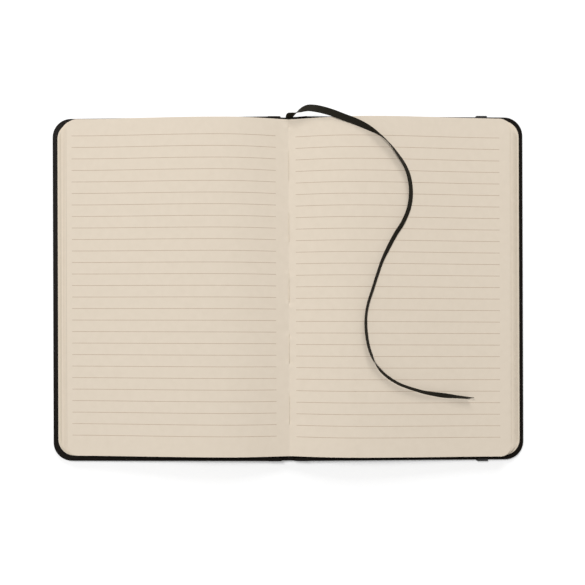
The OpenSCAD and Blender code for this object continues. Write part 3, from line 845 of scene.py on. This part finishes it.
def cover_skin(side, name, body, node):
    """The covering of one board: outer face, rounded edges and turn-ins, which are pressed in at the
    corners in small pleats, the size of a sine of the angle round the corner."""
    profile = [(PANEL_MIDDLE, 0.0), (4 * MM, 0.0)] + edge_arc(EDGE_ROUND, 0.0, SKIN_T) + [
        (2 * MM, SKIN_T), (3 * MM, SKIN_T), (TURN_IN, SKIN_T), (TURN_IN, SKIN_T - COVER_T),
        (COVER_T, SKIN_T - COVER_T), (COVER_T, COVER_T), (PANEL_MIDDLE, COVER_T)]
    grid, faces = wrapped_panel(COVER_W, COVER_H, COVER_CORNER_R, profile)
    x, y, z = grid[..., 0], grid[..., 1], grid[..., 2]
    corner = np.array([COVER_W - COVER_CORNER_R, COVER_H / 2 - COVER_CORNER_R])
    angle = np.arctan2(np.abs(y) - corner[1], x - corner[0])
    in_corner = step_smoothly(np.minimum(angle, math.pi / 2 - angle) * 8)
    on_turn_in = (z > SKIN_T - 0.01 * MM) * (x < COVER_W - 0.9 * MM)
    pleat = PLEAT * np.abs(np.sin(angle * PLEATS)) * in_corner * on_turn_in
    points = cover_frame(side, x, y, z - pleat)
    piece = mesh_piece(name, points, faces, LEATHERETTE)
    tidy_piece(piece)
    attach(piece, body)
    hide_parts(node)


def pastedown(side, name, body, node):
    """The sheet pasted inside a cover. It drops a little where it leaves the turn-ins beneath it."""
    step = TURN_IN - FORE_SQUARE
    sunk = 0.12 * MM
    drop = [(step + 1.2 * MM, sunk), (step, 0.3 * sunk), (step - 1 * MM, 0.0), (0.0, 0.0)]
    profile = [(inset, SKIN_T - down) for inset, down in drop]
    profile += [(inset, SKIN_T + PAPER_T - down) for inset, down in drop[::-1]]
    grid, faces = wrapped_panel(COVER_W - FORE_SQUARE, PAGE_H, PAGE_CORNER_R, profile)
    points = cover_frame(side, grid[..., 0], grid[..., 1] + PAGE_MID, grid[..., 2])
    piece = mesh_piece(name, points, faces, ENDPAPER)
    tidy_piece(piece)
    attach(piece, body)
    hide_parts(node)


def joint_curve(side, t):
    """The outer face of a joint across the book, from the spine strip up to the cover's inner edge:
    points and upward normals. It is a Bezier curve, level at both ends, that turns up close to the
    spine."""
    end = INNER_X - side * SPINE_SHIFT
    run = end - SPINE_W / 2
    turn = SPINE_W / 2 + 0.2 * run
    p = [[SPINE_W / 2, 0], [turn, 0], [turn, BOARD_RISE], [end, BOARD_RISE]]
    heading = cubic_heading(p, t)
    return cubic(p, t), np.stack([-heading[:, 1], heading[:, 0]], -1)


# The strips of covering over the spine and the joints: how far in from head and tail their section runs,
# the radius that they fold round there, and the width of their lips and of the lips' slope. The lips'
# heights over the floor, at head and tail, are given across the book in millimetres
STRIP_MIDDLE = 30 * MM
FOLD_R = 0.3 * MM
LIP = 2.1 * MM
LIP_SLOPE = 0.25 * MM
HEAD_LIP = [(-12.1, 6.9), (-4.4, 6.7), (-4.0, 3.9), (0, 3.5), (2.9, 3.8), (3.3, 5.0), (6, 5.2), (12.1, 6.9)]
TAIL_LIP = [(-12.1, 6.9), (-4.4, 6.7), (-3.8, 4.3), (0, 3.9), (2.9, 4.2), (4.1, 6.0), (6, 6.4), (12.1, 6.9)]


def strip_section(total, turned):
    """The section of a covering strip along the book's height, as rows of y, distance from its outer face
    and share of the lip: it turns round at head and tail, where the folded covering stands up beyond the
    pages as a lip, and ends on the inner side."""
    r = min(FOLD_R, total / 2)
    half = COVER_H / 2
    bend = np.linspace(0, math.pi / 2, 4)
    outer = [(half - r + r * math.sin(b), r - r * math.cos(b), 0) for b in bend]
    upper = [(half - r + r * math.cos(b), total - r + r * math.sin(b), 1) for b in bend]
    head = outer + upper + [(half - LIP, total, 1), (half - LIP - LIP_SLOPE, total, 0),
                            (half - TURN_IN, total, 0), (half - TURN_IN, total - turned, 0)]
    if total > 2 * turned:
        head += [(half - COVER_T, total - turned, 0), (half - COVER_T, COVER_T, 0)]
    middle = half - STRIP_MIDDLE
    head = np.array([(middle, 0.0, 0)] + head + [(middle, COVER_T, 0)])
    return np.concatenate([head, (head * [-1, 1, 1])[::-1]])


def lip_height(x, y):
    """Height of the lip over the floor, across the book and at head or tail: level with the boards beside
    the spine, low over the spine itself, where the ribbon comes out."""
    head, tail = (np.interp(x / MM, *np.transpose(lip)) for lip in (HEAD_LIP, TAIL_LIP))
    return np.where(y > 0, head, tail) * MM


def strip_rings(section, line, normal, side):
    """The section set on each point of a line across the book, square to it, with its lips standing up."""
    x = SPINE_SHIFT + side * (line[:, :1] + section[None, :, 1] * normal[:, :1])
    z = line[:, 1:] + section[None, :, 1] * normal[:, 1:]
    y = section[None, :, 0]
    z = z + section[None, :, 2] * np.maximum(lip_height(x, y) - z, 0)
    return over_grid(x, y, z)


def joint_skin(side, name):
    """The covering across one joint, bending between the spine and the cover."""
    line, normal = joint_curve(side, np.linspace(0, 1, 17))
    points, faces = tube(strip_rings(strip_section(2 * COVER_T, COVER_T), line, normal, side))
    piece = mesh_piece(name, points, faces, LEATHERETTE)
    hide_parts("spine_covering")
    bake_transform(piece)


def spine_skin():
    """The covering of the spine strip itself."""
    line = np.column_stack([SPINE_W / 2 * np.linspace(-1, 1, 33), np.zeros(33)])
    normal = np.tile([0.0, 1.0], (33, 1))
    points, faces = tube(strip_rings(strip_section(STRIP_TOP, COVER_T), line, normal, RIGHT))
    piece = mesh_piece("spine_skin", points, faces, LEATHERETTE)
    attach(piece, "book_block")
    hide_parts("spine_covering")


def flyleaf(side, name, node):
    """The free leaf of an endpaper, under the block, along its lowest page."""
    u = LEAF_U[LEAF_U >= BACK_END]
    line = low_line(u)
    normal = line_normal(line)
    sheets = [page_grid(u, LEAF_W, line - h * PAPER_T * normal, side) for h in (0.1, 0.95)]
    points, faces = closed_sheet(*sheets)
    piece = mesh_piece(name, points, faces, ENDPAPER, crease=30)
    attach(piece, "book_block")
    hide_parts(node)


def endpaper_hinge(side, name, node):
    """The endpaper across the joint, a smooth curve through given points: from the block's back
    down into the joint, level above the covering there, and up on to the cover's turn-in."""
    end = INNER_X - side * SPINE_SHIFT
    back = [[BACK_X + 0.1 * MM, BACK_Z - 0.12 * MM], [5.2 * MM, BACK_Z - 0.3 * MM]]
    bed = [[6.6 * MM, 5.0 * MM], [8.2 * MM, 5.35 * MM], [end - 1.6 * MM, 5.6 * MM]]
    rise = [[end - 0.6 * MM, 6.5 * MM], [end + 0.1 * MM, BOARD_RISE + SKIN_T + 0.1 * MM]]
    line = smooth_through(back + bed + rise, 4)
    normal = line_normal(line)
    y = PAGE_MID + PAGE_H / 2 * np.linspace(-1, 1, 25)
    sheets = []
    for h in (1, 0):
        d, z = (line + h * PAPER_T * normal).T[:, :, None]
        sheets.append(over_grid(SPINE_SHIFT + side * d, y, z))
    points, faces = closed_sheet(*sheets)
    piece = mesh_piece(name, points, faces, ENDPAPER)
    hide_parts(node)
    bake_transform(piece)


def weave_map(path, section, width):
    """A strip's own map: 0 to 1 across it, and its running length counted in its widths along it."""
    length = np.concatenate([[0], np.cumsum(np.linalg.norm(np.diff(path, axis=0), axis=1))])
    return over_grid(section[:, 0] / width + 0.5, length[:, None] / width)


def elastic_band():
    """The band round the back cover: a flat woven strip carried under the outer face, round head and
    tail, and in under the endpaper. Its path is straight runs joined by quarter circles."""
    r = 0.5 * ELASTIC_T
    low, high = -ELASTIC_T / 2, SKIN_T - ELASTIC_T / 2
    out = COVER_H / 2 + ELASTIC_SLACK + ELASTIC_T / 2
    bend = np.linspace(0, math.pi / 2, 7)
    turn = [(out - r + r * math.sin(b), low + r - r * math.cos(b)) for b in bend]
    back = [(out - r + r * math.cos(b), high - r + r * math.sin(b)) for b in bend]
    run = [(y, low) for y in np.linspace(0, out - r, 40)[:-1]]
    tail = [(y, high) for y in np.linspace(out - r, COVER_H / 2 - ELASTIC_TAIL, 8)[1:]]
    half = np.array(run + turn + back + tail)
    path = np.concatenate([(half * [-1, 1])[:0:-1], half])
    along = unit(np.gradient(path, axis=0))
    normal = np.stack([along[:, 1], -along[:, 0]], -1)
    a, b = ELASTIC_W / 2, ELASTIC_T / 2
    across = np.linspace(-1, 1, 29)
    ribs = 0.05 * MM * np.abs(np.sin(across * ELASTIC_RIBS * math.pi))
    rim = b * np.sqrt(1 - np.clip((np.abs(across) - 0.93) / 0.07, 0, 1) ** 2)
    upper = np.stack([across * a, np.maximum(rim - ribs, 0.02 * MM)], -1)
    section = np.concatenate([upper, (upper * [1, -1])[::-1]])
    y = path[:, :1] + normal[:, :1] * section[:, 1]
    z = path[:, 1:] + normal[:, 1:] * section[:, 1]
    points, faces = tube(cover_frame(RIGHT, ELASTIC_X + section[:, 0], y, z))
    uv = weave_map(path, section, ELASTIC_W)
    piece = mesh_piece("elastic_closure", points, faces, ELASTIC, uv=uv)
    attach(piece, "back_cover")
    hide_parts("elastic_band")


# The ribbon

def ribbon():
    """The ribbon marker: a flat woven section with thicker selvedges, carried along a smooth curve through
    its route and turned by the twist, with its end cut at a slant."""
    route = smooth_through(RIBBON, 7)
    path = route[:, :3] * MM
    twist = np.radians(route[:, 3])
    along = unit(np.gradient(path, axis=0))
    level = unit(np.cross(along, [0, 0, 1]))
    up = np.cross(level, along)
    across = np.cos(twist)[:, None] * level + np.sin(twist)[:, None] * up
    through = np.cross(across, along)
    s = np.linspace(-1, 1, 15)
    half_t = RIBBON_T * (0.36 + 0.14 * bell(np.abs(s) - 0.93, 0.06))
    half_t[[0, -1]] *= 0.35
    cup = 0.05 * MM * s * s
    upper = np.stack([s * RIBBON_W / 2, half_t - cup], -1)
    lower = np.stack([s * RIBBON_W / 2, -half_t - cup], -1)
    section = np.concatenate([upper, lower[::-1]])
    slant = np.zeros(len(path))
    slant[-3:] = np.array([0.2, 0.55, 1.0]) * math.tan(RIBBON_SLANT)
    rings = (path[:, None, :] + section[:, 0][None, :, None] * across[:, None, :]
             + section[:, 1][None, :, None] * through[:, None, :]
             + (slant[:, None] * section[:, 0][None, :])[:, :, None] * along[:, None, :])
    points, faces = tube(rings)
    uv = weave_map(path, section, RIBBON_W)
    piece = mesh_piece("ribbon", points, faces, RIBBON_SATIN, uv=uv, crease=70)
    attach(piece, "book_block")
    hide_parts("ribbon_marker")


# The set: floor, lamps and camera

def floor():
    """A pale floor that takes the book's shadow, with painted light seen by the camera that lifts that
    shadow near the book and grows with distance until the floor is plain white, and is clear from below."""
    made, tree, shader, where = material("White floor")
    finish_plainly(shader, {"Base Color": (0.90, 0.90, 0.90, 1), "Roughness": 0.9,
                            "Specular IOR Level": 0.0, "Emission Color": (1, 1, 1, 1)})
    rays = tree.nodes.new("ShaderNodeLightPath").outputs
    seen = calc(tree, "MAXIMUM", rays["Is Camera Ray"],
                calc(tree, "MAXIMUM", rays["Is Glossy Ray"], rays["Is Transmission Ray"]))
    # painted light: a glow seen by the camera that lightens the floor and the book's shadow on it, more
    # with distance from the book
    far = add(tree, "ShaderNodeVectorMath", {0: where["Object"]}, operation="LENGTH").outputs["Value"]
    glow = spread_over(tree, far, 0.2, 1.0, 0.23, 1.0)
    tree.links.new(calc(tree, "MULTIPLY", seen, glow), shader.inputs["Emission Strength"])
    clear = tree.nodes.new("ShaderNodeBsdfTransparent")
    below = tree.nodes.new("ShaderNodeNewGeometry").outputs["Backfacing"]
    mix = add(tree, "ShaderNodeMixShader", {0: below, 1: shader.outputs[0], 2: clear.outputs[0]})
    tree.links.new(mix.outputs[0], tree.nodes["Material Output"].inputs["Surface"])
    span = 3.0
    mesh = bpy.data.meshes.new("floor")
    corners = [(-span, -span, 0), (span, -span, 0), (span, span, 0), (-span, span, 0)]
    mesh.from_pydata(corners, [], [(0, 1, 2, 3)])
    mesh.materials.append(made)
    plane = new_object("floor", mesh)


def surroundings():
    """An even white room: full white to the eye, and a plain fill to the object."""
    world = bpy.data.worlds.new("Room")
    bpy.context.scene.world = world
    world.use_nodes = True
    tree = world.node_tree
    rays = tree.nodes.new("ShaderNodeLightPath").outputs
    seen = calc(tree, "MAXIMUM", rays["Is Camera Ray"], rays["Is Transmission Ray"])
    back = tree.nodes["Background"]
    back.inputs["Color"].default_value = (1, 1, 1, 1)
    tree.links.new(spread_over(tree, seen, 0.0, 1.0, 0.25, 1.0), back.inputs["Strength"])


def softbox(name, place, size, power):
    """A square area lamp, its size in metres and power in watts, that faces the middle of the book."""
    lamp = bpy.data.lights.new(name, "AREA")
    lamp.shape = "SQUARE"
    lamp.size = size
    lamp.energy = power
    holder = new_object(name, lamp)
    holder.location = place
    aim = np.array(place) / np.linalg.norm(place)
    holder.rotation_euler = (math.acos(aim[2]), 0, math.atan2(aim[1], aim[0]) + math.pi / 2)


def camera():
    """The camera over the book, shifted so that the photograph's frame falls where its own does."""
    lens = bpy.data.cameras.new("Camera")
    lens.sensor_width = 36
    lens.lens = 36 * FOCAL_PX / IMAGE_PX
    lens.shift_x = (IMAGE_PX / 2 - FOOT_PX[0]) / IMAGE_PX
    lens.shift_y = (FOOT_PX[1] - IMAGE_PX / 2) / IMAGE_PX
    lens.clip_start = 0.01
    holder = new_object("Camera", lens)
    holder.location = CAMERA_AT
    holder.rotation_euler = (0, 0, CAMERA_ROLL)
    bpy.context.scene.camera = holder


def dress_nodes():
    """Procedural materials for the nodes that stay as they are."""
    for node, finish in (("front_board", GREYBOARD), ("back_board", GREYBOARD), ("spine_board", GREYBOARD),
                         ("spine_lining", MULL)):
        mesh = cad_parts[node].data
        mesh.materials.clear()
        mesh.materials.append(finish)


camera()
ribbon()
open_spread()
ruled_print()
sewing()
block_leaves()
cover_skin(LEFT, "front_cover_skin", "front_cover", "front_covering")
cover_skin(RIGHT, "back_cover_skin", "back_cover", "back_covering")
spine_skin()
joint_skin(LEFT, "front_joint_skin")
joint_skin(RIGHT, "back_joint_skin")
pastedown(LEFT, "front_pastedown_sheet", "front_cover", "front_pastedown")
pastedown(RIGHT, "back_pastedown_sheet", "back_cover", "back_pastedown")
flyleaf(LEFT, "front_flyleaf_sheet", "front_flyleaf")
flyleaf(RIGHT, "back_flyleaf_sheet", "back_flyleaf")
endpaper_hinge(LEFT, "front_endpaper_hinge", "front_flyleaf")
endpaper_hinge(RIGHT, "back_endpaper_hinge", "back_flyleaf")
elastic_band()
dress_nodes()
floor()
surroundings()
softbox("Key softbox", (-0.74, 0.70, 2.40), 0.8, 43)
softbox("Head softbox", (0.3, 1.92, 1.42), 0.8, 15)
bpy.context.scene.view_settings.view_transform = "Standard"
